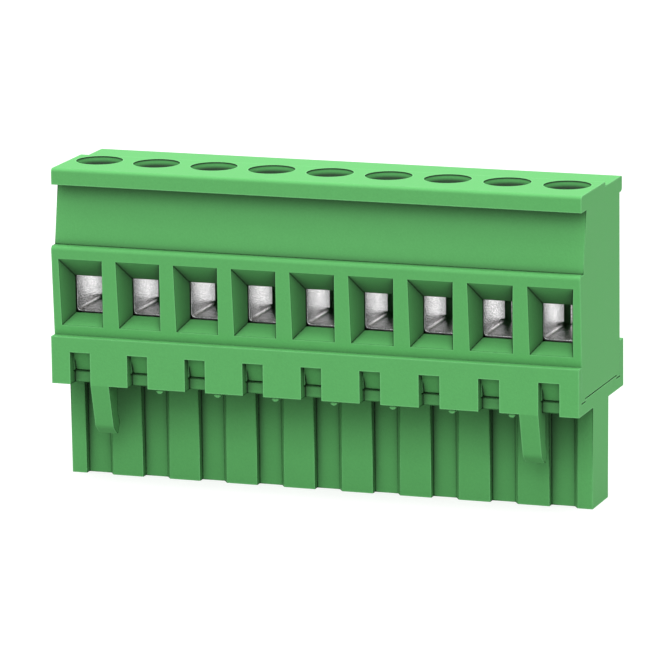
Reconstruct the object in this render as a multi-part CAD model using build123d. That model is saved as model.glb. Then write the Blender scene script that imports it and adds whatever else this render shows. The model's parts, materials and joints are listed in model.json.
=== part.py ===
from build123d import *
import os

# Pluggable screw terminal block, nine poles on a 5.08 mm pitch.
# Wires enter the tapered windows in front, screws are turned from above, and the
# ribbed plug below pushes into a pin header. Each pole holds a captive screw, a
# rising clamp cage, a bent contact bar and a spring clip around the contact's fork.
#
# Row frame: X runs along the row, +Y points away from the wire windows, +Z points
# to the screws. The origin is under the middle of the row, at the plug's foot.
# While a piece is drawn, Y is its depth behind the flange's front face and Z is its
# height over the plug's foot. Lengths are in millimetres.

# Row
poles = 9
pitch = 5.08

# Lower housing: tray and flange
plug_height = 8.5
floor_thickness = 1.2
flange_height = 4.0
front_wall = 0.75
rear_wall = 1.0
wall_fit = 0.05
seam_gap = 0.1
notch_width = 1.77
notch_height = 2.72
notch_depth = 1.07
nub_radius = 0.33
nub_length = 0.55
nub_from_rib = 0.62

# Lower housing: plug
rib_front = 3.95
rib_width = 2.7
rib_flank = 0.4
recess_depth = 0.6
plug_rear = 8.3
plug_end_draft = 0.06
foot_wall = 0.9
pin_hole = 1.5
pin_lead_in = 0.3

# Lower housing: latch fingers
finger_width = 1.63
finger_length = 4.35
finger_lean = 0.95
finger_rear = 1.95
finger_tip_bevel = 0.65
finger_tip_depth = 0.75
finger_tip_round = 0.9
finger_nose = 0.4
finger_nose_height = 0.85

# Upper housing: outline
overall_height = 26.5
body_depth = 10.75
lip_front = 0.8
lip_height = 1.36
lip_round = 0.28
rear_step_front = 7.45
rear_step_drop = 0.34
rear_lip_overhang = 0.7
rear_lip_height = 1.28
rear_lip_round = 0.35
neck_top_front = 2.2
neck_foot_front = 1.31
band_top_front = 0.42
band_height = 7.54
band_round = 0.32
leg_drop = 0.25
leg_depth = 0.95
barb_reach = 0.2
barb_top_gap = 0.06
barb_ramp_depth = 0.6
barb_side_fit = 0.06

# Upper housing: windows
window_width = 3.76
window_height = 5.66
window_sill = 0.82
window_throat = 2.0
throat_side = 0.62
throat_fall = 1.72
throat_rise = 0.78
throat_wall = 0.12

# Upper housing: screw wells
well_radius = 1.95
well_front = 5.3
ledge_thickness = 1.0
chamber_headroom = 0.2

# Clamp cage
cage_width = 3.6
cage_depth = 5.5
cage_front_gap = 0.5
cage_sheet = 0.5
cage_collar = 1.1
cage_corner = 0.45
cage_clear_height = 4.3
cage_travel = 3.15
cage_sill_gap = 0.1
cage_side_fit = 0.1
cage_stop_gap = 0.1
stop_width = 2.6
stop_depth = 2.5

# Clamp screw
screw_radius = 1.25
thread_fit = 0.05
ledge_fit = 0.1
head_fit = 0.12
head_height = 1.4
head_float = 0.05
slot_width = 0.6
slot_depth = 0.7
tip_gap = 0.1

# Contact bar
bar_sheet = 0.6
bar_bend = 0.6
tongue_front_gap = 0.6
tongue_over_sill = 3.5
stem_width = 1.7
stem_cage_gap = 0.35
stem_rear_fit = 0.05
fork_width = 2.4
fork_gap = 1.3
fork_nip = 0.85
fork_nip_height = 2.6
fork_root = 7.4
fork_foot_gap = 0.4
contact_depth = 6.5

# Contact spring
spring_sheet = 0.2
spring_fit = 0.05
spring_low = 3.2
spring_high = 6.6
spring_lap = 0.5

# Contact cavity in the plug
cavity_side_fit = 0.2
cavity_front_fit = 0.25

# Worked-out depths behind the flange's front face
upper_front = front_wall + wall_fit
upper_rear = upper_front + body_depth
tray_rear = upper_rear + wall_fit
overall_depth = tray_rear + rear_wall
throat_rear = band_top_front + window_throat
throat_depth = throat_rear + throat_wall
cage_front = throat_depth + cage_front_gap
cage_rear = cage_front + cage_depth
stem_rear = cage_rear + stem_cage_gap + bar_sheet
chamber_rear = stem_rear + stem_rear_fit
leg_rear = upper_front + leg_depth

# Worked-out heights over the plug's foot
tray_floor = plug_height + floor_thickness
upper_foot = tray_floor + seam_gap
leg_low = upper_foot - leg_drop
groove_floor = tray_floor - leg_drop
flange_top = plug_height + flange_height
notch_top = plug_height + notch_height
barb_top = notch_top - barb_top_gap
window_low = flange_top + window_sill
window_high = window_low + window_height
band_top = flange_top + band_height
lip_low = overall_height - lip_height
rear_top = overall_height - rear_step_drop
rear_lip_low = rear_top - rear_lip_height
throat_low = window_low + throat_rise
throat_high = window_high - throat_fall
cage_floor = throat_low + cage_sill_gap
cage_low = cage_floor - cage_sheet
cage_inner_top = cage_floor + cage_clear_height
cage_high = cage_inner_top + cage_collar
chamber_top = cage_high + cage_travel + chamber_headroom
ledge_top = chamber_top + ledge_thickness
tongue_low = cage_floor + tongue_over_sill
tongue_high = tongue_low + bar_sheet
screw_tip = tongue_high + tip_gap
stop_top = cage_low - cage_stop_gap

# Worked-out widths
row_length = poles * pitch
chamber_width = cage_width + 2 * cage_side_fit
barb_width = notch_width - 2 * barb_side_fit
throat_width = window_width - 2 * throat_side
fork_front = contact_depth - bar_sheet / 2
fork_rear = contact_depth + bar_sheet / 2
spring_inner_width = fork_width + 2 * spring_fit
spring_inner_depth = bar_sheet + 2 * spring_fit
spring_width = spring_inner_width + 2 * spring_sheet
spring_depth = spring_inner_depth + 2 * spring_sheet
cavity_width = spring_width + 2 * cavity_side_fit
cavity_front = contact_depth - spring_depth / 2 - cavity_front_fit
cavity_rear = contact_depth + spring_depth / 2 + cavity_front_fit

pole_centres = [(index - (poles - 1) / 2) * pitch for index in range(poles)]
to_row_frame = Pos(0, -overall_depth / 2, 0)


def span(x_low, x_high, y_low, y_high, z_low, z_high):
    """A rectangular block between two corners."""
    low_corner = Pos(x_low, y_low, z_low)
    return low_corner * Box(x_high - x_low, y_high - y_low, z_high - z_low, align=Align.MIN)


def side_outline(points):
    """A face in the YZ plane through (depth, height) points."""
    return Plane.YZ * make_face(Polyline(*points, close=True).edges())


def side_prism(points, width, x=0.0):
    """A prism across X from an outline of (depth, height) points."""
    return Pos(x, 0, 0) * extrude(side_outline(points), amount=width / 2, both=True)


def front_prism(points, y_low, y_high, x=0.0):
    """A prism along Y from an outline of (x, height) points."""
    outline = make_face(Polyline(*points, close=True).edges())
    front_plane = Plane(origin=(x, y_low, 0), x_dir=(1, 0, 0), z_dir=(0, -1, 0))
    return extrude(front_plane * outline, amount=y_low - y_high)


def corner_at(outline, depth, height):
    """The corner of a YZ outline that lies nearest to (depth, height)."""
    return outline.vertices().sort_by_distance((0, depth, height))[0]


def upper_body():
    """The upper housing's outer form: lip, leaning neck, window band and rear lip."""
    rear_lip = upper_rear + rear_lip_overhang
    outline = side_outline([
        (upper_front, leg_low),
        (upper_front, flange_top),
        (band_top_front, band_top),
        (neck_foot_front, band_top),
        (neck_top_front, lip_low),
        (lip_front, lip_low),
        (lip_front, overall_height),
        (rear_step_front, overall_height),
        (rear_step_front, rear_top),
        (rear_lip, rear_top),
        (rear_lip, rear_lip_low),
        (upper_rear, rear_lip_low),
        (upper_rear, leg_low),
        (upper_rear - leg_depth, leg_low),
        (upper_rear - leg_depth, upper_foot),
        (leg_rear, upper_foot),
        (leg_rear, leg_low),
    ])
    outline = fillet(corner_at(outline, band_top_front, band_top), band_round)
    outline = fillet(corner_at(outline, lip_front, overall_height), lip_round)
    outline = fillet(corner_at(outline, rear_lip, rear_lip_low), rear_lip_round)
    outline = fillet(corner_at(outline, rear_lip, rear_top), rear_lip_round / 2)
    return extrude(outline, amount=row_length / 2, both=True)


def at_flange_front(mouth, neck):
    """Where the straight taper from mouth to neck meets depth zero, as a size."""
    mouth_depth, mouth_size = mouth
    neck_depth, neck_size = neck
    slope = (neck_size - mouth_size) / (neck_depth - mouth_depth)
    return mouth_size - slope * mouth_depth


def wire_throat(x):
    """The tapered funnel of one wire window, from the leaning band to the chamber."""
    lean = (upper_front - band_top_front) / band_height
    high_front = band_top_front + (band_top - window_high) * lean
    low_front = band_top_front + (band_top - window_low) * lean
    side_view = side_prism([
        (0, at_flange_front((low_front, window_low), (throat_rear, throat_low))),
        (throat_rear, throat_low),
        (cage_front, throat_low),
        (cage_front, throat_high),
        (throat_rear, throat_high),
        (0, at_flange_front((high_front, window_high), (throat_rear, throat_high))),
    ], pitch, x)
    mid_front = (high_front + low_front) / 2
    half = throat_width / 2
    wide_half = at_flange_front((mid_front, window_width / 2), (throat_rear, half))
    plan = make_face(Polyline(
        (-wide_half, 0),
        (wide_half, 0),
        (half, throat_rear),
        (half, cage_front),
        (-half, cage_front),
        (-half, throat_rear),
        close=True,
    ).edges())
    plan_view = Pos(x, 0, window_low) * extrude(plan, amount=window_height)
    return side_view & plan_view


def cage_chamber(x):
    """The shaft of one pole, open below, with the ledge hole and screw well above."""
    half = chamber_width / 2
    shaft = span(x - half, x + half, throat_depth, chamber_rear, leg_low, chamber_top)
    well_depth = overall_height - ledge_top
    well_place = Pos(x, well_front, ledge_top)
    well = well_place * extrude(Circle(well_radius), amount=well_depth)
    hole_place = Pos(x, well_front, chamber_top)
    hole = hole_place * extrude(Circle(screw_radius + ledge_fit), amount=ledge_thickness)
    return shaft + well + hole


def snap_barb(x):
    """One barb that catches under the top edge of its notch in the flange."""
    barb_front = upper_front - barb_reach
    return side_prism([
        (barb_front, barb_top),
        (throat_depth, barb_top),
        (throat_depth, upper_foot),
        (leg_rear, upper_foot),
        (leg_rear, leg_low),
        (barb_front + barb_ramp_depth, leg_low),
    ], barb_width, x)


def upper_housing():
    """The moulded upper housing with its wells, chambers, windows and barbs."""
    body = upper_body()
    half = barb_width / 2
    for x in pole_centres:
        body -= span(x - half, x + half, 0, throat_depth, leg_low, barb_top)
    for x in pole_centres:
        body += snap_barb(x)
    for x in pole_centres:
        body -= cage_chamber(x)
        body -= wire_throat(x)
    return body


def plug():
    """The ribbed plug block below the flange, its ends leaning in by the draft."""
    recess_floor = rib_front + recess_depth
    core = span(-row_length / 2, row_length / 2, recess_floor, plug_rear, 0, plug_height)
    rib_half = rib_width / 2
    rib_plan = make_face(Polyline(
        (-rib_half, rib_front),
        (rib_half, rib_front),
        (rib_half, recess_floor),
        (-rib_half - rib_flank, recess_floor),
        close=True,
    ).edges())
    rib = extrude(rib_plan, amount=plug_height)
    for index in range(poles + 1):
        core += Pos((index - poles / 2) * pitch, 0, 0) * rib
    half = row_length / 2
    drafted = front_prism([
        (-half + plug_end_draft, 0),
        (half - plug_end_draft, 0),
        (half, plug_height),
        (-half, plug_height),
    ], rib_front, plug_rear)
    return core & drafted


def plug_cavity(x):
    """One contact cavity, open to the tray, with its pin hole through the foot."""
    half = cavity_width / 2
    cavity = span(x - half, x + half, cavity_front, cavity_rear, foot_wall, tray_floor)
    hole_place = Pos(x, contact_depth, 0)
    hole = hole_place * extrude(Rectangle(pin_hole, pin_hole), amount=foot_wall)
    mouth = pin_hole + 2 * pin_lead_in
    lead_in = extrude(hole_place * Rectangle(mouth, mouth), amount=pin_lead_in, taper=45)
    return cavity + hole + lead_in


def latch_finger(x):
    """One latch finger that hangs from the flange and leans back to its tip."""
    tip = plug_height - finger_length
    bevel_top = tip + finger_tip_bevel
    bevel_front = finger_lean + finger_tip_depth
    nose_mid = tip + finger_nose_height
    outline = side_outline([
        (0, plug_height),
        (finger_lean, bevel_top),
        (bevel_front, tip),
        (finger_rear, tip),
        (finger_rear + finger_nose, nose_mid),
        (finger_rear, nose_mid + 2 * finger_nose),
        (finger_rear, plug_height),
    ])
    outline = fillet(corner_at(outline, finger_lean, bevel_top), finger_tip_round)
    return Pos(x, 0, 0) * extrude(outline, amount=finger_width / 2, both=True)


def lower_housing():
    """The moulded lower housing: tray, notched flange, plug, fingers and nubs."""
    front_groove = leg_rear + wall_fit
    rear_groove = upper_rear - leg_depth - wall_fit
    body = side_prism([
        (0, plug_height),
        (0, flange_top),
        (front_wall, flange_top),
        (front_wall, groove_floor),
        (front_groove, groove_floor),
        (front_groove, tray_floor),
        (rear_groove, tray_floor),
        (rear_groove, groove_floor),
        (tray_rear, groove_floor),
        (tray_rear, flange_top),
        (overall_depth, flange_top),
        (overall_depth, plug_height),
    ], row_length)
    body += plug()
    stop_front = cage_front + cage_side_fit
    stop_rear = stop_front + stop_depth
    half = stop_width / 2
    for x in pole_centres:
        body += span(x - half, x + half, stop_front, stop_rear, tray_floor, stop_top)
    for x in pole_centres:
        body -= span(x - notch_width / 2, x + notch_width / 2, 0, notch_depth,
                     plug_height, notch_top)
        body -= plug_cavity(x)
    finger_offset = (notch_width + finger_width) / 2
    body += latch_finger(pole_centres[0] + finger_offset)
    body += latch_finger(pole_centres[-1] - finger_offset)
    nub = Rot(90, 0, 0) * Cylinder(nub_radius, nub_length)
    for x in pole_centres[1:-1]:
        nub_x = x + pitch / 2 - nub_from_rib
        body += Pos(nub_x, front_wall / 2, plug_height) * nub
    return body


def clamp_screw(x):
    """One captive clamp screw with a slotted head."""
    head_radius = well_radius - head_fit
    head_low = ledge_top + head_float
    head_high = head_low + head_height
    profile = Plane.XZ * make_face(Polyline(
        (0, screw_tip),
        (screw_radius, screw_tip),
        (screw_radius, head_low),
        (head_radius, head_low),
        (head_radius, head_high),
        (0, head_high),
        close=True,
    ).edges())
    body = revolve(profile, Axis.Z)
    body -= span(-head_radius, head_radius, -slot_width / 2, slot_width / 2,
                 head_high - slot_depth, head_high)
    return Pos(x, well_front, 0) * body


def clamp_cage(x):
    """One rising cage: a bent sheet sleeve with a threaded collar on top."""
    outer = Pos(0, (cage_low + cage_high) / 2) * Rectangle(cage_width, cage_high - cage_low)
    outer = fillet(outer.vertices().sort_by(Axis.Y)[:2], cage_corner)
    inner_middle = Pos(0, (cage_floor + cage_inner_top) / 2)
    inner = inner_middle * Rectangle(cage_width - 2 * cage_sheet, cage_clear_height)
    front_plane = Plane(origin=(x, cage_front, 0), x_dir=(1, 0, 0), z_dir=(0, -1, 0))
    sleeve = extrude(front_plane * (outer - inner), amount=-cage_depth)
    hole_place = Pos(x, well_front, cage_inner_top)
    return sleeve - hole_place * extrude(Circle(screw_radius + thread_fit), amount=cage_collar)


def contact_bar(x):
    """One bent contact: clamp tongue, stem behind the cage, foot and two-tined fork."""
    half_sheet = bar_sheet / 2
    fork_low = foot_wall + fork_foot_gap
    centre_line = FilletPolyline(
        (cage_front + tongue_front_gap, tongue_low + half_sheet),
        (stem_rear - half_sheet, tongue_low + half_sheet),
        (stem_rear - half_sheet, tray_floor + half_sheet),
        (contact_depth, tray_floor + half_sheet),
        (contact_depth, fork_low),
        radius=bar_bend,
    )
    strip = Plane.YZ * trace(centre_line, bar_sheet)
    bar = extrude(strip, amount=fork_width / 2, both=True)
    stem_half = stem_width / 2
    fork_half = fork_width / 2
    for x_low, x_high in ((-fork_half, -stem_half), (stem_half, fork_half)):
        bar -= span(x_low, x_high, cage_rear, stem_rear, tray_floor, tongue_high)
    nip_half = fork_nip / 2
    gap_half = fork_gap / 2
    bar -= front_prism([
        (-gap_half, fork_low),
        (-nip_half, fork_nip_height),
        (-gap_half, fork_nip_height + fork_gap),
        (-gap_half, fork_root),
        (gap_half, fork_root),
        (gap_half, fork_nip_height + fork_gap),
        (nip_half, fork_nip_height),
        (gap_half, fork_low),
    ], fork_front, fork_rear)
    return Pos(x, 0, 0) * bar


def contact_spring(x):
    """One steel clip that wraps the fork and presses its tines together."""
    ring = Rectangle(spring_width, spring_depth)
    ring -= Rectangle(spring_inner_width, spring_inner_depth)
    mouth_place = Pos(0, -(spring_depth - spring_sheet) / 2)
    ring -= mouth_place * Rectangle(spring_inner_width - 2 * spring_lap, spring_sheet)
    clip_place = Pos(x, contact_depth, spring_low)
    return clip_place * extrude(ring, amount=spring_high - spring_low)


def write(name, solid):
    """Move one finished piece into the row frame and write its STEP file."""
    export_step(to_row_frame * solid, "parts/" + name + ".step")


os.makedirs("parts", exist_ok=True)
write("upper_housing", upper_housing())
write("lower_housing", lower_housing())
for pole, centre in enumerate(pole_centres, start=1):
    write(f"screw_{pole}", clamp_screw(centre))
    write(f"clamp_cage_{pole}", clamp_cage(centre))
    write(f"contact_bar_{pole}", contact_bar(centre))
    write(f"contact_spring_{pole}", contact_spring(centre))
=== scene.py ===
"""Looks of the pluggable terminal block: finishes, fine detail, light and camera.

Every length is in metres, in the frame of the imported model: X runs along the row,
+Y points away from the wire windows and +Z points to the clamp screws.
"""

import json
import logging
import math
from dataclasses import dataclass, field, fields, replace
from enum import Enum

import bmesh
import bpy
import numpy as np
from mathutils import Matrix, Vector

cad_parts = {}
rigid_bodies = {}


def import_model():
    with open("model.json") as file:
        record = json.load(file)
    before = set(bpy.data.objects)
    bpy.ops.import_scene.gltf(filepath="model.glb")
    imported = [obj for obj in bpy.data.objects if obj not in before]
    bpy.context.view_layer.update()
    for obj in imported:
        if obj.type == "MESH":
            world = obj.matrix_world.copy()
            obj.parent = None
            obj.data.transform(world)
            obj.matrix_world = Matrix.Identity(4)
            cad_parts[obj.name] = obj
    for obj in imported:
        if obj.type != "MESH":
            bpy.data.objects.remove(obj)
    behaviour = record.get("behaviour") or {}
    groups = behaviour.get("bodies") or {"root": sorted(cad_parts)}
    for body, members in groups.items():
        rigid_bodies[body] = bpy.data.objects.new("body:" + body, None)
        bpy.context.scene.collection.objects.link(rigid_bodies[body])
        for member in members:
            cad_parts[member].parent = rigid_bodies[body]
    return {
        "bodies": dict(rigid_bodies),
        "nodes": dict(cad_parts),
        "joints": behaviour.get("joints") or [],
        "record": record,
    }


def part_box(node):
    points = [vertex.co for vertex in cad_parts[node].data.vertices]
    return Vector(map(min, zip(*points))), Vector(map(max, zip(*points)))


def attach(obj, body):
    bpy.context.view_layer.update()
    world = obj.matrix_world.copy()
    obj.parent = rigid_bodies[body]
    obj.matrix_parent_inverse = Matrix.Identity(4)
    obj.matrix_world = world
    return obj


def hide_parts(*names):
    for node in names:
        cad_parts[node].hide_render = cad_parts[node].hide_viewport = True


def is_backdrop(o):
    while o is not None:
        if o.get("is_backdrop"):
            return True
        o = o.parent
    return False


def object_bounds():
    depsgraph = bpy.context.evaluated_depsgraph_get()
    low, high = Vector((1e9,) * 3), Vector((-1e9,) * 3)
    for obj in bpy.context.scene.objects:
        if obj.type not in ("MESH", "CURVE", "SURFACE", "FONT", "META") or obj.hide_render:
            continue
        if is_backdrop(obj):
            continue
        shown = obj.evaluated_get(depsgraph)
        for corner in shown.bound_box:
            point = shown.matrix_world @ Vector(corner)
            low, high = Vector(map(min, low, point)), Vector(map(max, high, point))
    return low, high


LOG = logging.getLogger("terminal_block")
MM = 0.001
POLES = 9
CAGE_SHEET = 0.5 * MM
FULL_TURN = 2.0 * math.pi
WELD_REACH = 0.002 * MM
SLIVER_LENGTH = 0.001 * MM
COLOUR_MIX_INPUTS = (0, 6, 7)
COLOUR_MIX_RESULT = 2


class Slot(Enum):
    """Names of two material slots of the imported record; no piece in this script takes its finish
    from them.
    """

    SCREW = "screw"
    CAGE = "cage"


@dataclass(frozen=True)
class Grain:
    """Fine surface grain: how large its cells are and how much it shows."""

    cell: float
    bump: float
    tint: float
    gloss: float


@dataclass(frozen=True)
class Shade:
    """How much shade is painted into crevices: a short reach past every piece and a long one within
    it.

    Foot, crown and rim are heights over the plug's foot between which the shade changes.
    A metal has its crown and rim above the block, so that they play no part.
    """

    near_reach: float
    near_share: float
    wide_reach: float
    wide_share: float
    # the darkest colour that the painted crevice shade blends towards
    deep_colour: tuple[float, float, float]
    # how much less painted shade upward faces take, as painted light from above; downward faces
    # take more
    upward_relief: float
    foot_low: float
    foot_high: float
    # crown and rim heights: deeper painted shade low in the wells, painted light on their upper
    # walls, a painted dark ring under the rim
    crown_foot: float
    crown_low: float
    crown_high: float
    crown_relief: float
    crown_depth: float
    rim_low: float
    rim_high: float


@dataclass(frozen=True)
class PlasticFinish:
    """A moulded plastic with fine grain, softly rounded edges, painted highlights and shade lines
    on its edges and painted shade in crevices.
    """

    name: str
    colour: tuple[float, float, float]
    roughness: float
    specular: float
    edge_radius: float
    # a painted highlight on open edges and a painted shade line on edges inside hollows
    edge_lift: float
    edge_drop: float
    edge_colour: tuple[float, float, float]
    grain: Grain
    shade: Shade


@dataclass(frozen=True)
class MetalFinish:
    """A plated or bare metal with fine grain, softly rounded edges, painted crevice shade and
    painted shade on its cut edges.
    """

    name: str
    colour: tuple[float, float, float]
    roughness: float
    metallic: float
    edge_radius: float
    grain: Grain
    shade: Shade
    # painted shade on faces across the sheet's depth, its cut edges, which sit in the shaded gap
    # behind the housing
    cut_edge: float = 0.0


# painted shade in the metals' crevices, within a short reach only
METAL_SHADE = Shade(
    near_reach=0.4 * MM,
    near_share=0.5,
    wide_reach=1.0 * MM,
    wide_share=0.0,
    deep_colour=(0.02, 0.02, 0.02),
    upward_relief=0.0,
    foot_low=0.0,
    foot_high=0.1 * MM,
    crown_foot=29.0 * MM,
    crown_low=30.0 * MM,
    crown_high=31.0 * MM,
    crown_relief=0.0,
    crown_depth=0.0,
    rim_low=32.0 * MM,
    rim_high=33.0 * MM,
)
# painted shade in the housings' crevices and deep in the wells, painted light on the wells' upper
# walls and a painted dark ring under their rims
PLASTIC_SHADE = Shade(
    near_reach=0.6 * MM,
    near_share=0.72,
    wide_reach=6.0 * MM,
    wide_share=0.90,
    deep_colour=(0.045, 0.055, 0.047),
    upward_relief=0.78,
    foot_low=0.5 * MM,
    foot_high=2.5 * MM,
    crown_foot=25.2 * MM,
    crown_low=25.95 * MM,
    crown_high=26.20 * MM,
    crown_relief=1.0,
    crown_depth=0.80,
    rim_low=26.34 * MM,
    rim_high=26.39 * MM,
)
HOUSING_PLASTIC = PlasticFinish(
    name="housing_plastic",
    colour=(0.133, 0.484, 0.149),
    roughness=0.52,
    specular=0.05,
    edge_radius=0.07 * MM,
    # painted edge highlight and painted edge shade line
    edge_lift=0.80,
    edge_drop=0.90,
    edge_colour=(0.12, 0.44, 0.14),
    grain=Grain(cell=0.16 * MM, bump=0.10, tint=0.035, gloss=0.06),
    shade=PLASTIC_SHADE,
)
SCREW_ZINC = MetalFinish(
    name="screw_zinc",
    colour=(0.50, 0.51, 0.53),
    roughness=0.34,
    metallic=1.0,
    edge_radius=0.06 * MM,
    grain=Grain(cell=0.10 * MM, bump=0.08, tint=0.06, gloss=0.10),
    # deeper painted shade on the floor of the head's slot
    shade=replace(METAL_SHADE, near_reach=0.9 * MM, near_share=0.90),
)
CAGE_NICKEL = MetalFinish(
    name="cage_nickel",
    colour=(0.86, 0.86, 0.87),
    roughness=0.15,
    metallic=1.0,
    edge_radius=0.05 * MM,
    grain=Grain(cell=0.13 * MM, bump=0.30, tint=0.34, gloss=0.08),
    shade=METAL_SHADE,
    # painted shade on the cage's cut edges
    cut_edge=0.85,
)
CONTACT_TIN = MetalFinish(
    name="contact_tin",
    colour=(0.84, 0.82, 0.80),
    roughness=0.24,
    metallic=1.0,
    edge_radius=0.05 * MM,
    grain=Grain(cell=0.12 * MM, bump=0.05, tint=0.05, gloss=0.10),
    shade=METAL_SHADE,
)
SPRING_STEEL = MetalFinish(
    name="spring_steel",
    colour=(0.60, 0.61, 0.63),
    roughness=0.28,
    metallic=1.0,
    edge_radius=0.03 * MM,
    grain=Grain(cell=0.08 * MM, bump=0.04, tint=0.04, gloss=0.08),
    shade=METAL_SHADE,
)


class NodeGraph:
    """A short-hand for building one node tree."""

    def __init__(self, tree: bpy.types.NodeTree) -> None:
        """Keeps the tree that the nodes go into.

        Args:
            tree: The node tree of a material, a world or a group.
        """
        self.tree = tree

    def add(self, kind: str, **settings: object) -> bpy.types.Node:
        """Adds one node and sets its attributes.

        Args:
            kind: The node's type name.
            settings: Attributes of the node by name.

        Returns:
            The new node.
        """
        node = self.tree.nodes.new(kind)
        for name, value in settings.items():
            setattr(node, name, value)
        return node

    def feed(self, source: object, target: bpy.types.NodeSocket) -> None:
        """Links a socket, or writes a plain value, into an input.

        Args:
            source: An output socket or a value.
            target: The input socket.
        """
        if isinstance(source, bpy.types.NodeSocket):
            self.tree.links.new(source, target)
        else:
            target.default_value = source

    def maths(self, operation: str, *values: object) -> bpy.types.NodeSocket:
        """Adds a Math node.

        Args:
            operation: The Math node's operation.
            values: Sockets or numbers for its inputs, in order.

        Returns:
            The node's output.
        """
        node = self.add("ShaderNodeMath", operation=operation)
        for socket, value in zip(node.inputs, values):
            self.feed(value, socket)
        return node.outputs[0]

    def remap(self, value: object, low: object, high: object, to_low: object,
              to_high: object) -> bpy.types.NodeSocket:
        """Maps one range of values to another, clamped.

        Args:
            value: The socket to map.
            low: Lower end of the incoming range, a socket or a number.
            high: Upper end of the incoming range.
            to_low: Result at the lower end.
            to_high: Result at the upper end.

        Returns:
            The mapped value's socket.
        """
        node = self.add("ShaderNodeMapRange")
        for socket, number in zip(node.inputs, (value, low, high, to_low, to_high)):
            self.feed(number, socket)
        return node.outputs[0]

    def mixed(self, share: object, first: object, second: object,
              blend_type: str = "MIX") -> bpy.types.NodeSocket:
        """Mixes two colours.

        Args:
            share: How much the second colour counts.
            first: The first colour, a socket or four numbers.
            second: The second colour.
            blend_type: How the second is laid over the first.

        Returns:
            The mixed colour's socket.
        """
        node = self.add("ShaderNodeMix", data_type="RGBA", blend_type=blend_type)
        for number, value in zip(COLOUR_MIX_INPUTS, (share, first, second)):
            self.feed(value, node.inputs[number])
        return node.outputs[COLOUR_MIX_RESULT]

    def scaled(self, colour: bpy.types.NodeSocket,
               factor: bpy.types.NodeSocket) -> bpy.types.NodeSocket:
        """Multiplies a colour by a factor.

        Args:
            colour: The colour's socket.
            factor: The factor's socket.

        Returns:
            The product's socket.
        """
        node = self.add("ShaderNodeVectorMath", operation="SCALE")
        self.feed(colour, node.inputs[0])
        self.feed(factor, node.inputs["Scale"])
        return node.outputs[0]

    def axis(self, kind: str, vector: str, letter: str) -> bpy.types.NodeSocket:
        """Adds a node of coordinates or normals and takes one axis of it.

        Args:
            kind: The node's type name.
            vector: Which of its outputs.
            letter: X, Y or Z.

        Returns:
            The number's socket.
        """
        node = self.add("ShaderNodeSeparateXYZ")
        self.feed(self.add(kind).outputs[vector], node.inputs[0])
        return node.outputs[letter]


def new_group(name: str, inputs: dict[str, str],
              outputs: dict[str, str]) -> tuple[bpy.types.NodeTree, bpy.types.Node, bpy.types.Node]:
    """Makes an empty shader node group with named sockets.

    Args:
        name: The group's name.
        inputs: Input names with their socket types.
        outputs: Output names with their socket types.

    Returns:
        The group, its input node and its output node.
    """
    group = bpy.data.node_groups.new(name, "ShaderNodeTree")
    for label, kind in inputs.items():
        group.interface.new_socket(label, in_out="INPUT", socket_type=kind)
    for label, kind in outputs.items():
        group.interface.new_socket(label, in_out="OUTPUT", socket_type=kind)
    return group, group.nodes.new("NodeGroupInput"), group.nodes.new("NodeGroupOutput")


def grain_group() -> bpy.types.NodeTree:
    """Builds the grain effect: two sizes of noise on object coordinates.

    The height is fine noise plus a third of a coarser one. The same noise, less its
    middle, varies the colour's brightness and the roughness by small shares.

    Returns:
        The node group, with colour, roughness and height outputs.
    """
    fine_detail, coarse_detail = 3.0, 2.0
    coarse_scale, coarse_weight = 0.12, 0.33
    middle, gain = 0.5 * (1.0 + coarse_weight), 4.0
    group, entry, leave = new_group(
        "surface_grain",
        {"Colour": "NodeSocketColor", "Roughness": "NodeSocketFloat", "Cells": "NodeSocketFloat",
         "Tint": "NodeSocketFloat", "Gloss": "NodeSocketFloat"},
        {"Colour": "NodeSocketColor", "Roughness": "NodeSocketFloat", "Height": "NodeSocketFloat"},
    )
    graph = NodeGraph(group)
    place = graph.add("ShaderNodeTexCoord")
    fine = graph.add("ShaderNodeTexNoise")
    coarse = graph.add("ShaderNodeTexNoise")
    for noise, scale, detail in ((fine, 1.0, fine_detail), (coarse, coarse_scale, coarse_detail)):
        graph.feed(place.outputs["Object"], noise.inputs["Vector"])
        graph.feed(graph.maths("MULTIPLY", entry.outputs["Cells"], scale), noise.inputs["Scale"])
        noise.inputs["Detail"].default_value = detail
    mixed = graph.maths("MULTIPLY_ADD", coarse.outputs["Fac"], coarse_weight, fine.outputs["Fac"])
    swing = graph.maths("SUBTRACT", mixed, middle)
    tint = graph.maths("MULTIPLY", entry.outputs["Tint"], gain)
    gloss = graph.maths("MULTIPLY", entry.outputs["Gloss"], gain)
    bright = graph.maths("MULTIPLY_ADD", swing, tint, 1.0)
    rough = graph.maths("MULTIPLY_ADD", swing, gloss, entry.outputs["Roughness"])
    graph.feed(graph.scaled(entry.outputs["Colour"], bright), leave.inputs["Colour"])
    graph.feed(rough, leave.inputs["Roughness"])
    graph.feed(mixed, leave.inputs["Height"])
    return group


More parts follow.
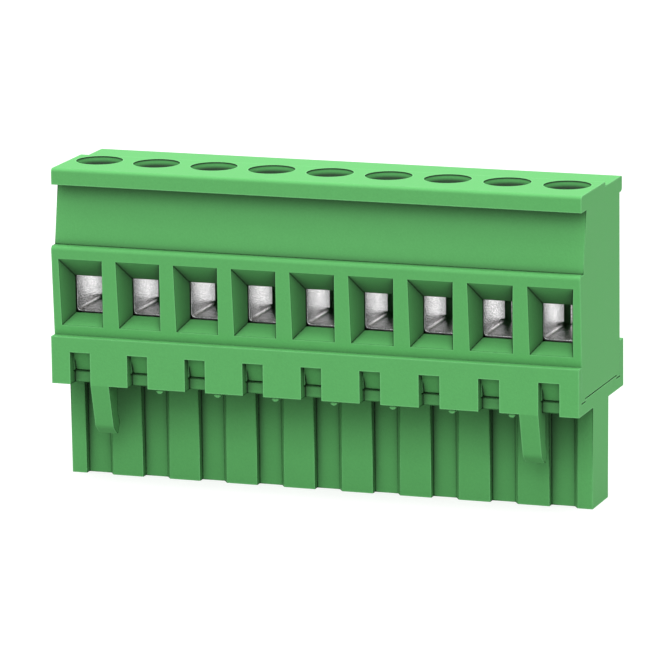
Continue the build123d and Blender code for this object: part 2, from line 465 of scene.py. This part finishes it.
def edge_group() -> bpy.types.NodeTree:
    """Builds the edge effect: a soft rounding normal and a mask of the edges.

    The mask is how far a wider rounding would lean from the true normal, stretched so
    that it reaches one well before the corner of a right-angled edge. The plastic paints
    its edge highlights and edge shade lines along this mask.

    Returns:
        The node group, with normal and mask outputs.
    """
    mask_widening = 3.2
    flat_lean, corner_lean = 0.99, 0.85
    group, entry, leave = new_group(
        "soft_edge",
        {"Radius": "NodeSocketFloat"},
        {"Normal": "NodeSocketVector", "Mask": "NodeSocketFloat"},
    )
    graph = NodeGraph(group)
    bevel = graph.add("ShaderNodeBevel", samples=4)
    wide = graph.add("ShaderNodeBevel", samples=6)
    graph.feed(entry.outputs["Radius"], bevel.inputs["Radius"])
    wide_radius = graph.maths("MULTIPLY", entry.outputs["Radius"], mask_widening)
    graph.feed(wide_radius, wide.inputs["Radius"])
    true_normal = graph.add("ShaderNodeNewGeometry")
    lean = graph.add("ShaderNodeVectorMath", operation="DOT_PRODUCT")
    graph.feed(wide.outputs["Normal"], lean.inputs[0])
    graph.feed(true_normal.outputs["Normal"], lean.inputs[1])
    mask = graph.remap(lean.outputs["Value"], flat_lean, corner_lean, 0.0, 1.0)
    graph.feed(bevel.outputs["Normal"], leave.inputs["Normal"])
    graph.feed(mask, leave.inputs["Mask"])
    return group


def shade_labels() -> dict[str, str]:
    """Names the crevice group's inputs after the numbers of a shade.

    Returns:
        Socket labels by field name.
    """
    return {item.name: item.name.replace("_", " ").title() for item in fields(Shade)
            if item.name != "deep_colour"}


def crevice_group() -> bpy.types.NodeTree:
    """Builds the painted crevice shade: a colour multiplier that falls where surfaces face each
    other.

    The near share counts every piece within a short reach, and fades out towards the
    foot, where the block only stands on something. The wide share counts the piece
    itself within a long reach, less where the surface looks up, as painted light from above.
    From the crown's foot up to its low height both grow into deeper painted shade in the
    wells, and towards its high height both fade into painted light on the wells' upper
    walls, except for a thin painted dark ring under the rim. The result is
    (1 - near share * near cover) * (1 - wide share * wide cover * (1 - relief * up)),
    where up is a smooth step of the normal's height, less how far it looks down.

    Returns:
        The node group, with the shade and the bare wide cover as outputs.
    """
    steep, level = 0.25, 0.75
    darkest = 0.02
    group, entry, leave = new_group(
        "crevice_shade",
        {label: "NodeSocketFloat" for label in shade_labels().values()},
        {"Shade": "NodeSocketFloat", "Cover": "NodeSocketFloat"},
    )
    graph = NodeGraph(group)
    given = entry.outputs
    covers = []
    for reach, local in (("Near Reach", False), ("Wide Reach", True)):
        node = graph.add("ShaderNodeAmbientOcclusion", samples=8, only_local=local)
        graph.feed(given[reach], node.inputs["Distance"])
        covers.append(graph.maths("SUBTRACT", 1.0, node.outputs["AO"]))
    height = graph.axis("ShaderNodeTexCoord", "Object", "Z")
    above_foot = graph.remap(height, given["Foot Low"], given["Foot High"], 0.0, 1.0)
    # painted light on the wells' upper walls, deeper painted shade below them and a painted dark
    # ring under the rim
    crown = graph.remap(height, given["Crown Low"], given["Crown High"], 1.0,
                        graph.maths("SUBTRACT", 1.0, given["Crown Relief"]))
    deeper = graph.remap(height, given["Crown Foot"], given["Crown Low"], 1.0,
                         graph.maths("ADD", 1.0, given["Crown Depth"]))
    ring = graph.remap(height, given["Rim Low"], given["Rim High"], 0.0, 1.0)
    crown = graph.maths("MULTIPLY", graph.maths("MAXIMUM", crown, ring), deeper)
    # upward faces take less painted shade, as painted light from above; downward faces take more
    facing = graph.axis("ShaderNodeNewGeometry", "Normal", "Z")
    up = graph.remap(facing, steep, level, 0.0, 1.0)
    up = graph.maths("ADD", up, graph.maths("MINIMUM", facing, 0.0))
    relief = graph.maths("SUBTRACT", 1.0, graph.maths("MULTIPLY", up, given["Upward Relief"]))
    near = graph.maths("MULTIPLY", graph.maths("MULTIPLY", covers[0], given["Near Share"]),
                       graph.maths("MULTIPLY", above_foot, crown))
    wide = graph.maths("MULTIPLY", graph.maths("MULTIPLY", covers[1], given["Wide Share"]),
                       graph.maths("MULTIPLY", relief, crown))
    lit_near, lit_wide = (graph.maths("SUBTRACT", 1.0, part) for part in (near, wide))
    shade = graph.maths("MAXIMUM", graph.maths("MULTIPLY", lit_near, lit_wide), darkest)
    graph.feed(shade, leave.inputs["Shade"])
    graph.feed(covers[1], leave.inputs["Cover"])
    return group


class MaterialShop:
    """Makes the materials, with the shared effects built once."""

    def __init__(self) -> None:
        """Builds the shared node groups."""
        self.grain = grain_group()
        self.edge = edge_group()
        self.crevice = crevice_group()

    def _start(self, name: str) -> tuple[bpy.types.Material, NodeGraph, bpy.types.Node]:
        """Makes an empty material with a Principled shader.

        Args:
            name: The material's name.

        Returns:
            The material, its graph and its shader node.
        """
        material = bpy.data.materials.new(name)
        material.use_nodes = True
        material.node_tree.nodes.clear()
        graph = NodeGraph(material.node_tree)
        shader = graph.add("ShaderNodeBsdfPrincipled")
        output = graph.add("ShaderNodeOutputMaterial")
        graph.feed(shader.outputs[0], output.inputs["Surface"])
        return material, graph, shader

    def _effects(self, graph: NodeGraph, shader: bpy.types.Node, colour: tuple[float, float, float],
                 roughness: float, edge_radius: float,
                 grain: Grain) -> tuple[bpy.types.Node, bpy.types.Node]:
        """Places the grain and edge groups and feeds the shader's roughness and normal.

        Args:
            graph: The material's graph.
            shader: Its Principled node.
            colour: The finish's colour.
            roughness: The finish's roughness.
            edge_radius: How far edges are softened.
            grain: The finish's grain.

        Returns:
            The grain group's node and the edge group's node.
        """
        fine = graph.add("ShaderNodeGroup", node_tree=self.grain)
        for label, value in {
            "Colour": (*colour, 1.0),
            "Roughness": roughness,
            "Cells": 1.0 / grain.cell,
            "Tint": grain.tint,
            "Gloss": grain.gloss,
        }.items():
            fine.inputs[label].default_value = value
        soft = graph.add("ShaderNodeGroup", node_tree=self.edge)
        soft.inputs["Radius"].default_value = edge_radius
        bump = graph.add("ShaderNodeBump")
        bump.inputs["Strength"].default_value = grain.bump
        bump.inputs["Distance"].default_value = grain.cell
        graph.feed(fine.outputs["Height"], bump.inputs["Height"])
        graph.feed(soft.outputs["Normal"], bump.inputs["Normal"])
        graph.feed(bump.outputs["Normal"], shader.inputs["Normal"])
        graph.feed(fine.outputs["Roughness"], shader.inputs["Roughness"])
        return fine, soft

    def plastic(self, finish: PlasticFinish) -> bpy.types.Material:
        """Makes a moulded plastic with a painted highlight on its edges in the open and a painted
        shade line on its edges inside hollows.

        Args:
            finish: The plastic's values.

        Returns:
            The material.
        """
        open_cover, shut_cover = 0.05, 0.20
        material, graph, shader = self._start(finish.name)
        fine, soft = self._effects(graph, shader, finish.colour, finish.roughness,
                                   finish.edge_radius, finish.grain)
        crevice = self._crevice(graph, finish.shade)
        # edges in the open get a painted highlight, edges inside hollows a painted shade line
        open_air = graph.remap(crevice.outputs["Cover"], open_cover, shut_cover, 1.0, 0.0)
        outside = graph.maths("MULTIPLY", open_air, finish.edge_lift)
        highlighted = graph.mixed(graph.maths("MULTIPLY", soft.outputs["Mask"], outside),
                             fine.outputs["Colour"], (*finish.edge_colour, 1.0), "SCREEN")
        inside = graph.maths("MULTIPLY", graph.maths("SUBTRACT", 1.0, open_air), finish.edge_drop)
        edge_line_shade = graph.maths("SUBTRACT", 1.0, graph.maths("MULTIPLY", soft.outputs["Mask"], inside))
        # painted crevice shade, blended towards the darkest shade colour
        shaded = self._deepened(graph, highlighted, crevice, finish.shade)
        graph.feed(graph.scaled(shaded, edge_line_shade), shader.inputs["Base Color"])
        shader.inputs["Specular IOR Level"].default_value = finish.specular
        return material

    def _crevice(self, graph: NodeGraph, shade: Shade) -> bpy.types.Node:
        """Places the crevice group, which paints shade, with a finish's values.

        Args:
            graph: The material's graph.
            shade: How the crevices darken.

        Returns:
            The group's node.
        """
        crevice = graph.add("ShaderNodeGroup", node_tree=self.crevice)
        for name, label in shade_labels().items():
            crevice.inputs[label].default_value = getattr(shade, name)
        return crevice

    @staticmethod
    def _deepened(graph: NodeGraph, colour: bpy.types.NodeSocket, crevice: bpy.types.Node,
                  shade: Shade) -> bpy.types.NodeSocket:
        """Paints shade: blends a colour towards the finish's darkest shade colour in crevices.

        Args:
            graph: The material's graph.
            colour: The colour's socket.
            crevice: The crevice group's node.
            shade: How the crevices darken.

        Returns:
            The blended colour's socket.
        """
        return graph.mixed(crevice.outputs["Shade"], (*shade.deep_colour, 1.0), colour)

    def metal(self, finish: MetalFinish) -> bpy.types.Material:
        """Makes a metal with painted crevice shade, and painted shade where the sheet was sheared
        across its depth.

        Args:
            finish: The metal's values.

        Returns:
            The material.
        """
        slanted, square_on = 0.80, 0.97
        material, graph, shader = self._start(finish.name)
        fine, _ = self._effects(graph, shader, finish.colour, finish.roughness,
                                finish.edge_radius, finish.grain)
        crevice = self._crevice(graph, finish.shade)
        # painted crevice shade, blended towards the darkest shade colour
        colour = self._deepened(graph, fine.outputs["Colour"], crevice, finish.shade)
        # painted shade on the sheet's cut edges, which face along Y
        if finish.cut_edge:
            across = graph.maths("ABSOLUTE", graph.axis("ShaderNodeTexCoord", "Normal", "Y"))
            cut_shade = graph.remap(across, slanted, square_on, 1.0, 1.0 - finish.cut_edge)
            colour = graph.scaled(colour, cut_shade)
        graph.feed(colour, shader.inputs["Base Color"])
        shader.inputs["Metallic"].default_value = finish.metallic
        return material


def dress(node: bpy.types.Object, material: bpy.types.Material) -> None:
    """Gives every material slot of a node one material.

    Args:
        node: The CAD node's object.
        material: Its finish.
    """
    if not node.material_slots:
        node.data.materials.append(material)
    for slot in node.material_slots:
        slot.material = material


@dataclass
class Housings:
    """The two green mouldings."""

    nodes: tuple[str, str] = ("upper_housing", "lower_housing")
    finish: PlasticFinish = HOUSING_PLASTIC

    def build(self, frame: dict, shop: MaterialShop) -> None:
        """Dresses both mouldings.

        Args:
            frame: The loaded frame.
            shop: The material shop.
        """
        material = shop.plastic(self.finish)
        for name in self.nodes:
            dress(frame["nodes"][name], material)
            LOG.info("%s dressed in %s", name, material.name)


def grid_faces(rows: int, columns: int, wrap_rows: bool, wrap_columns: bool) -> np.ndarray:
    """Numbers the quads of a grid of points, where a point is row * columns + column.

    Args:
        rows: How many rows of points.
        columns: How many points in a row.
        wrap_rows: Whether the last row joins the first.
        wrap_columns: Whether each row closes on itself.

    Returns:
        Four point numbers for each quad.
    """
    row = np.arange(rows if wrap_rows else rows - 1)[:, None]
    column = np.arange(columns if wrap_columns else columns - 1)[None, :]
    next_row, next_column = (row + 1) % rows, (column + 1) % columns
    corners = (row * columns + column, row * columns + next_column,
               next_row * columns + next_column, next_row * columns + column)
    return np.stack([np.broadcast_to(c, (row.size, column.size)).ravel() for c in corners], axis=1)


class Shell:
    """Points and faces that are gathered into one mesh."""

    def __init__(self) -> None:
        """Starts empty."""
        self.points: list[np.ndarray] = []
        self.faces: list[list[int]] = []
        self.count = 0

    def sheet(self, points: np.ndarray, wrap_rows: bool = False,
              wrap_columns: bool = False) -> None:
        """Adds a surface given as a grid of points.

        Args:
            points: Array of rows, columns and coordinates.
            wrap_rows: Whether the last row joins the first.
            wrap_columns: Whether each row closes on itself.
        """
        rows, columns = points.shape[:2]
        faces = grid_faces(rows, columns, wrap_rows, wrap_columns) + self.count
        self.points.append(points.reshape(-1, 3))
        self.faces.extend(faces.tolist())
        self.count += rows * columns

    def mesh(self, name: str, smooth_below: float) -> bpy.types.Mesh:
        """Puts everything into a welded mesh whose faces point outwards.

        Args:
            name: The mesh's name.
            smooth_below: Edges sharper than this angle, in degrees, stay sharp.

        Returns:
            The mesh.
        """
        mesh = bpy.data.meshes.new(name)
        mesh.from_pydata(np.concatenate(self.points), [], self.faces)
        work = bmesh.new()
        work.from_mesh(mesh)
        bmesh.ops.remove_doubles(work, verts=work.verts, dist=WELD_REACH)
        bmesh.ops.dissolve_degenerate(work, edges=work.edges, dist=SLIVER_LENGTH)
        bmesh.ops.recalc_face_normals(work, faces=work.faces)
        work.to_mesh(mesh)
        work.free()
        mesh.shade_smooth()
        mesh.set_sharp_from_angle(angle=math.radians(smooth_below))
        return mesh


def place_piece(name: str, mesh: bpy.types.Mesh, shift: tuple[float, float, float],
                material: bpy.types.Material) -> bpy.types.Object:
    """Makes one object from a copy of a mesh, with its place in the mesh.

    Args:
        name: The object's name.
        mesh: The mesh that every such piece shares in shape.
        shift: How far this copy lies from it.
        material: Its finish.

    Returns:
        The object.
    """
    copy = mesh.copy()
    points = np.empty(len(copy.vertices) * 3, np.float32)
    copy.vertices.foreach_get("co", points)
    moved = points.reshape(-1, 3) + np.array(shift, np.float32)
    copy.vertices.foreach_set("co", moved.ravel())
    copy.materials.clear()
    copy.materials.append(material)
    piece = bpy.data.objects.new(name, copy)
    bpy.context.scene.collection.objects.link(piece)
    LOG.info("%s built", name)
    return piece


@dataclass(frozen=True)
class Thread:
    """A right-handed screw thread, as a radius over angle and height.

    Flank gain and crest cut shape the wave's groove, and end share is how deep the
    groove lies where it has faded out.
    """

    pitch: float = 0.45 * MM
    depth: float = 0.24 * MM
    around: int = 40
    per_turn: int = 10
    flank_gain: float = 1.35
    crest_cut: float = 0.12
    end_share: float = 0.55

    def rod(self, radius: float, low: float, high: float, runout: float) -> np.ndarray:
        """Works out the threaded rod as a grid of height and angle.

        The radius is the outer one less depth * groove. The groove is flank gain *
        (1 - wave) - crest cut, held between 0 and 1, and the wave is half of 1 plus the
        cosine of height / pitch - angle / turn, in turns. Over the run-out at both ends
        the groove fades into the end share.

        Args:
            radius: Outer radius.
            low: Height of the lower end.
            high: Height of the upper end.
            runout: Length over which the thread fades at the ends.

        Returns:
            Points in rows of equal height, closed by a centre point at each end.
        """
        steps = max(2, round((high - low) / self.pitch * self.per_turn))
        height = np.linspace(low, high, steps + 1)[:, None]
        angle = np.linspace(0.0, FULL_TURN, self.around, endpoint=False)[None, :]
        wave = 0.5 + 0.5 * np.cos(FULL_TURN * (height / self.pitch - angle / FULL_TURN))
        groove = np.clip(self.flank_gain * (1.0 - wave) - self.crest_cut, 0.0, 1.0)
        fade = np.clip(np.minimum(height - low, high - height) / runout, 0.0, 1.0)
        reach = radius - self.depth * (groove * fade + (1.0 - fade) * self.end_share)
        rod = np.stack([reach * np.cos(angle), reach * np.sin(angle),
                        np.broadcast_to(height, reach.shape)], axis=2)
        foot, crown = rod[:1] * (0.0, 0.0, 1.0), rod[-1:] * (0.0, 0.0, 1.0)
        return np.concatenate([foot, rod, crown])


@dataclass
class ClampScrews:
    """The nine captive screws: slotted cheese heads on threaded shafts."""

    slot_width: float = 0.6 * MM
    slot_depth: float = 0.7 * MM
    head_height: float = 1.4 * MM
    rim_round: float = 0.22 * MM
    rim_fall: float = 0.7
    shaft_radius: float = 1.25 * MM
    chords_per_side: int = 15
    points_per_chord: int = 33
    smooth_below: float = 32.0
    finish: MetalFinish = SCREW_ZINC
    thread: Thread = Thread()

    def build(self, shop: MaterialShop) -> None:
        """Replaces every screw node by its detailed screw.

        Args:
            shop: The material shop.
        """
        material = shop.metal(self.finish)
        low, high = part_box("screw_1")
        centre = (low + high) / 2
        head_radius = (high.x - low.x) / 2
        head_low = high.z - self.head_height
        shell = Shell()
        for part in self._head(head_radius, head_low, high.z):
            shell.sheet(part)
        shaft = self.thread.rod(self.shaft_radius, low.z, head_low + self.slot_depth / 2,
                                self.thread.pitch)
        shell.sheet(shaft, wrap_columns=True)
        mesh = shell.mesh("clamp_screw", self.smooth_below)
        for pole in range(1, POLES + 1):
            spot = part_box(f"screw_{pole}")
            shift = ((spot[0].x + spot[1].x) / 2, centre.y, 0.0)
            piece = place_piece(f"slotted_screw_{pole}", mesh, shift, material)
            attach(piece, f"screw_{pole}")
            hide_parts(f"screw_{pole}")

    def _head(self, radius: float, low: float, high: float) -> list[np.ndarray]:
        """Works out the slotted head as chords that run along the slot.

        Each row is a chord at one distance across the slot, and the rows at the slot's
        walls stand twice, once at the top and once at the slot's floor. Towards the rim a
        point falls by rim round * rim fall * (1 - sqrt(1 - inset squared)), where inset
        runs from 0 to 1 over the rounding.

        Args:
            radius: The head's radius.
            low: Height of its underside.
            high: Height of its top.

        Returns:
            The top, the underside and the two half walls.
        """
        half = self.slot_width / 2
        side = radius * np.sin(np.linspace(0.0, math.pi / 2, self.chords_per_side))
        side = half + (side[1:] / radius) * (radius - half)
        across = np.concatenate([-side[::-1], [-half, -half, half, half], side])
        floor = np.zeros(across.size, bool)
        floor[side.size + 1:side.size + 3] = True
        along = np.sin(np.linspace(-math.pi / 2, math.pi / 2, self.points_per_chord))
        x = along[None, :] * np.sqrt(np.maximum(radius ** 2 - across ** 2, 0.0))[:, None]
        y = np.broadcast_to(across[:, None], x.shape)
        inset = np.clip((np.hypot(x, y) - (radius - self.rim_round)) / self.rim_round, 0.0, 1.0)
        fall = self.rim_round * (1.0 - np.sqrt(1.0 - inset ** 2)) * self.rim_fall
        z = np.where(floor[:, None], high - self.slot_depth, high - fall)
        top = np.stack([x, y, z], axis=2)
        under = top.copy()
        under[:, :, 2] = low
        walls = [np.stack([top[:, edge], under[:, edge]], axis=1) for edge in (0, -1)]
        return [top, under, *walls]


@dataclass
class ClampCages:
    """The nine rising cages: bent sheet sleeves with a threaded collar on top."""

    sheet: float = CAGE_SHEET
    collar: float = 1.1 * MM
    outer_bend: float = 0.45 * MM
    inner_bend: float = 0.26 * MM
    top_bend: float = 0.12 * MM
    rim: float = 0.07 * MM
    bore_radius: float = 1.30 * MM
    bore_overrun: float = 1.0 * MM
    bore_runout: float = 0.2 * MM
    points_per_corner: int = 9
    points_per_rim: int = 4
    smooth_below: float = 40.0
    finish: MetalFinish = CAGE_NICKEL
    thread: Thread = Thread()

    def build(self, shop: MaterialShop) -> list[bpy.types.Object]:
        """Replaces every cage node by its detailed cage.

        Args:
            shop: The material shop.

        Returns:
            The cages.
        """
        pieces = []
        material = shop.metal(self.finish)
        low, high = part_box("clamp_cage_1")
        mesh = self._bored(self._sleeve(low, high), low, high)
        middle = (low.x + high.x) / 2
        for pole in range(1, POLES + 1):
            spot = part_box(f"clamp_cage_{pole}")
            shift = ((spot[0].x + spot[1].x) / 2 - middle, 0.0, 0.0)
            piece = place_piece(f"rising_cage_{pole}", mesh, shift, material)
            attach(piece, f"cage_{pole}")
            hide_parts(f"clamp_cage_{pole}")
            pieces.append(piece)
        return pieces

    def _loop(self, half: float, low: float, high: float, foot_round: float) -> np.ndarray:
        """Works out a rectangle's outline with rounded corners, as an even set of points.

        Each corner is its centre + radius * (cos angle, sin angle) over a quarter turn.

        Args:
            half: Half its width.
            low: Its lower height.
            high: Its upper height.
            foot_round: Radius of the two lower corners.

        Returns:
            Points of (x, height), the same number whatever the sizes.
        """
        corners = (
            (half, low, foot_round, -0.5), (half, high, self.top_bend, 0.0),
            (-half, high, self.top_bend, 0.5), (-half, low, foot_round, 1.0),
        )
        turns = np.linspace(0.0, 0.5, self.points_per_corner) * math.pi
        runs = []
        for x, z, radius, start in corners:
            centre_x = x - math.copysign(radius, x)
            centre_z = z + radius if z == low else z - radius
            angle = start * math.pi + turns
            run = (centre_x + radius * np.cos(angle), centre_z + radius * np.sin(angle))
            runs.append(np.stack(run, axis=1))
        return np.concatenate(runs)

    def _sleeve(self, low: Vector, high: Vector) -> bpy.types.Mesh:
        """Works out the sleeve: its outer and inner outlines joined over rounded rims.

        A point is outer + share * (inner - outer) at one depth. Share and depth run round
        the sheet's section: back along the outside, over the front rim, through the
        inside and over the rear rim.

        Args:
            low: Lowest corner of the cage node.
            high: Highest corner of the cage node.

        Returns:
            The closed sleeve.
        """
        half = (high.x - low.x) / 2
        middle = (low.x + high.x) / 2
        outer = self._loop(half, low.z, high.z, self.outer_bend)
        inner = self._loop(half - self.sheet, low.z + self.sheet, high.z - self.collar,
                           self.inner_bend)
        turn = np.linspace(0.0, math.pi / 2, self.points_per_rim)
        share = self.rim / self.sheet * (1.0 - np.cos(turn))
        dip = self.rim * (1.0 - np.sin(turn))
        shares = np.concatenate([share, 1.0 - share[::-1], 1.0 - share, share[::-1]])
        depths = np.concatenate([low.y + dip, low.y + dip[::-1], high.y - dip, high.y - dip[::-1]])
        flat = outer[None] + shares[:, None, None] * (inner - outer)[None]
        points = np.stack([flat[:, :, 0] + middle, np.broadcast_to(depths[:, None], flat.shape[:2]),
                           flat[:, :, 1]], axis=2)
        shell = Shell()
        shell.sheet(points, wrap_rows=True, wrap_columns=True)
        return shell.mesh("cage_sleeve", self.smooth_below)

    def _bored(self, sleeve: bpy.types.Mesh, low: Vector, high: Vector) -> bpy.types.Mesh:
        """Cuts the threaded bore through the collar.

        Args:
            sleeve: The sleeve's mesh.
            low: Lowest corner of the cage node.
            high: Highest corner of the cage node.

        Returns:
            The cage's mesh.
        """
        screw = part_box("screw_1")
        axis_y = (screw[0].y + screw[1].y) / 2
        rod = self.thread.rod(self.bore_radius, high.z - self.collar - self.bore_overrun,
                              high.z + self.bore_overrun, self.bore_runout)
        rod += np.array(((low.x + high.x) / 2, axis_y, 0.0))
        shell = Shell()
        shell.sheet(rod, wrap_columns=True)
        tool = bpy.data.objects.new("bore_tool", shell.mesh("bore_tool", self.smooth_below))
        blank = bpy.data.objects.new("cage_blank", sleeve)
        for item in (tool, blank):
            bpy.context.scene.collection.objects.link(item)
        cut = blank.modifiers.new("bore", "BOOLEAN")
        cut.operation = "DIFFERENCE"
        cut.solver = "EXACT"
        cut.object = tool
        bpy.context.view_layer.update()
        finished = blank.evaluated_get(bpy.context.evaluated_depsgraph_get())
        mesh = bpy.data.meshes.new_from_object(finished)
        for item in (tool, blank):
            bpy.data.objects.remove(item)
        mesh.set_sharp_from_angle(angle=math.radians(self.smooth_below))
        return mesh


@dataclass
class ContactMetal:
    """The contact bars and their spring clips, which stay as the frame has them."""

    finishes: dict[str, MetalFinish] = field(default_factory=lambda: {
        "contact_bar": CONTACT_TIN,
        "contact_spring": SPRING_STEEL,
    })

    def build(self, frame: dict, shop: MaterialShop) -> None:
        """Dresses each pole's contact metal.

        Args:
            frame: The loaded frame.
            shop: The material shop.
        """
        for stem, finish in self.finishes.items():
            material = shop.metal(finish)
            for pole in range(1, POLES + 1):
                dress(frame["nodes"][f"{stem}_{pole}"], material)
                LOG.info("%s_%d dressed in %s", stem, pole, material.name)


@dataclass
class SoftBox:
    """One large soft lamp aimed at the block."""

    name: str
    place: tuple[float, float, float]
    width: float
    power: float

    def build(self, aim: Vector) -> None:
        """Adds the lamp.

        Args:
            aim: The point that it faces.
        """
        data = bpy.data.lights.new(self.name, "AREA")
        data.shape = "DISK"
        data.size = self.width
        data.energy = self.power
        lamp = bpy.data.objects.new(self.name, data)
        bpy.context.scene.collection.objects.link(lamp)
        lamp.location = self.place
        lamp.rotation_mode = "QUATERNION"
        lamp.rotation_quaternion = (aim - lamp.location).to_track_quat("-Z", "Y")


@dataclass
class CageFill:
    """A small soft light at each cage's rear opening, which only the cages take.

    It stands in for the daylight that a real sleeve catches from behind its contact. Each
    light is turned a little, so that it reaches the sleeve's long wall and not its floor.
    """

    low: float = 14.45 * MM
    high: float = 21.6 * MM
    behind: float = 0.05 * MM
    sheet: float = CAGE_SHEET
    turn: float = math.radians(19.4)
    spread: float = math.radians(52.0)
    power_per_area: float = 0.288

    def build(self, cages: list[bpy.types.Object]) -> None:
        """Adds one light for each cage.

        Args:
            cages: The rising cages.
        """
        takers = bpy.data.collections.new("cage_fill_takers")
        for cage in cages:
            takers.objects.link(cage)
        for pole in range(1, POLES + 1):
            low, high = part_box(f"clamp_cage_{pole}")
            width = high.x - low.x - 2.0 * self.sheet
            data = bpy.data.lights.new(f"cage_fill_{pole}", "AREA")
            data.shape = "RECTANGLE"
            data.size = width / math.cos(self.turn)
            data.size_y = self.high - self.low
            data.spread = self.spread
            data.energy = data.size * data.size_y * self.power_per_area
            lamp = bpy.data.objects.new(f"cage_fill_{pole}", data)
            bpy.context.scene.collection.objects.link(lamp)
            middle_y = high.y + self.behind - width / 2.0 * math.tan(self.turn)
            lamp.location = ((low.x + high.x) / 2.0, middle_y, (self.low + self.high) / 2.0)
            lamp.rotation_mode = "QUATERNION"
            facing = Vector((-math.sin(self.turn), -math.cos(self.turn), 0.0))
            lamp.rotation_quaternion = facing.to_track_quat("-Z", "Y")
            lamp.visible_camera = False
            lamp.light_linking.receiver_collection = takers
        LOG.info("%d cage lights placed", POLES)


@dataclass
class Studio:
    """A white floor, a white surround and soft lamps."""

    floor_reach: float = 3.0
    floor_edge: int = 48
    floor_colour: tuple[float, float, float] = (0.36, 0.36, 0.36)
    floor_glow: float = 0.75
    world_light: float = 0.84
    lamps: tuple[SoftBox, ...] = (
        SoftBox("overhead", (0.00, 0.02, 0.42), 0.36, 1.10),
        SoftBox("front_high", (0.05, -0.36, 0.36), 0.34, 0.62),
    )

    def build(self, aim: Vector) -> None:
        """Builds the floor, the world and the lamps.

        Args:
            aim: The middle of the block.
        """
        self._world()
        self._floor()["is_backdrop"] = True
        for lamp in self.lamps:
            lamp.build(aim)
        LOG.info("studio built with %d lamps", len(self.lamps))

    def _floor(self) -> bpy.types.Object:
        """Makes the floor as one round face: reach * (cos angle, sin angle, 0).

        Returns:
            The floor object.
        """
        angle = np.linspace(0.0, FULL_TURN, self.floor_edge, endpoint=False)
        rim = np.stack([np.cos(angle), np.sin(angle), np.zeros_like(angle)], axis=1)
        mesh = bpy.data.meshes.new("floor")
        mesh.from_pydata((rim * self.floor_reach).tolist(), [], [list(range(self.floor_edge))])
        floor = bpy.data.objects.new("floor", mesh)
        bpy.context.scene.collection.objects.link(floor)
        floor.data.materials.append(self._paper())
        return floor

    def _paper(self) -> bpy.types.Material:
        """Makes the floor's material: matt paper that is seen near white, with shadows.

        Returns:
            The material.
        """
        material = bpy.data.materials.new("studio_paper")
        material.use_nodes = True
        material.node_tree.nodes.clear()
        graph = NodeGraph(material.node_tree)
        paper = graph.add("ShaderNodeBsdfDiffuse")
        paper.inputs["Color"].default_value = (*self.floor_colour, 1.0)
        white = graph.add("ShaderNodeEmission")
        glow = graph.maths("MULTIPLY", self._seen(graph), self.floor_glow)
        graph.feed(glow, white.inputs["Strength"])
        both = graph.add("ShaderNodeAddShader")
        output = graph.add("ShaderNodeOutputMaterial")
        graph.feed(paper.outputs[0], both.inputs[0])
        graph.feed(white.outputs[0], both.inputs[1])
        graph.feed(both.outputs[0], output.inputs["Surface"])
        return material

    @staticmethod
    def _seen(graph: NodeGraph) -> bpy.types.NodeSocket:
        """Tells the rays that show the background from those that light the block.

        Args:
            graph: The tree of the floor or the world.

        Returns:
            One for camera, glossy and transmission rays, else zero.
        """
        rays = graph.add("ShaderNodeLightPath").outputs
        direct = graph.maths("MAXIMUM", rays["Is Camera Ray"], rays["Is Glossy Ray"])
        return graph.maths("MAXIMUM", direct, rays["Is Transmission Ray"])

    def _world(self) -> None:
        """Sets a white surround that is pure white where the camera sees it."""
        world = bpy.data.worlds.new("studio_world")
        bpy.context.scene.world = world
        world.use_nodes = True
        world.node_tree.nodes.clear()
        graph = NodeGraph(world.node_tree)
        strength = graph.maths("MULTIPLY_ADD", self._seen(graph), 1.0 - self.world_light,
                               self.world_light)
        sky = graph.add("ShaderNodeBackground")
        sky.inputs["Color"].default_value = (1.0, 1.0, 1.0, 1.0)
        graph.feed(strength, sky.inputs["Strength"])
        output = graph.add("ShaderNodeOutputWorld")
        graph.feed(sky.outputs[0], output.inputs["Surface"])


@dataclass(frozen=True)
class Viewpoint:
    """The photograph's viewing angle, as a camera's place and its three axes."""

    place: tuple[float, float, float] = (0.14724, -0.41614, 0.10887)
    right: tuple[float, float, float] = (0.943344, 0.331595, -0.012110)
    down: tuple[float, float, float] = (0.059344, -0.204509, -0.977064)
    lens_in_sensors: float = 5465.6 / 666.0
    sensor: float = 36.0
    clip_near: float = 0.01
    clip_far: float = 20.0

    def build(self) -> None:
        """Adds the camera and makes it the scene's own."""
        data = bpy.data.cameras.new("camera")
        data.sensor_width = self.sensor
        data.lens = self.lens_in_sensors * self.sensor
        data.clip_start = self.clip_near
        data.clip_end = self.clip_far
        camera = bpy.data.objects.new("camera", data)
        bpy.context.scene.collection.objects.link(camera)
        right = Vector(self.right).normalized()
        up = -Vector(self.down).normalized()
        back = right.cross(up).normalized()
        turned = Matrix((right, up, back)).transposed().to_4x4()
        camera.matrix_world = Matrix.Translation(self.place) @ turned
        bpy.context.scene.camera = camera
        LOG.info("camera placed")


def main() -> None:
    """Builds the block's looks, the studio and the camera."""
    logging.basicConfig(level=logging.INFO, format="%(name)s: %(message)s")
    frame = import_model()
    cad_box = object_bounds()
    shop = MaterialShop()
    Housings().build(frame, shop)
    ContactMetal().build(frame, shop)
    ClampScrews().build(shop)
    cages = ClampCages().build(shop)
    CageFill().build(cages)
    Studio().build((cad_box[0] + cad_box[1]) / 2)
    Viewpoint().build()
    bpy.context.scene.view_settings.view_transform = "Standard"


if __name__ == "__main__":
    main()
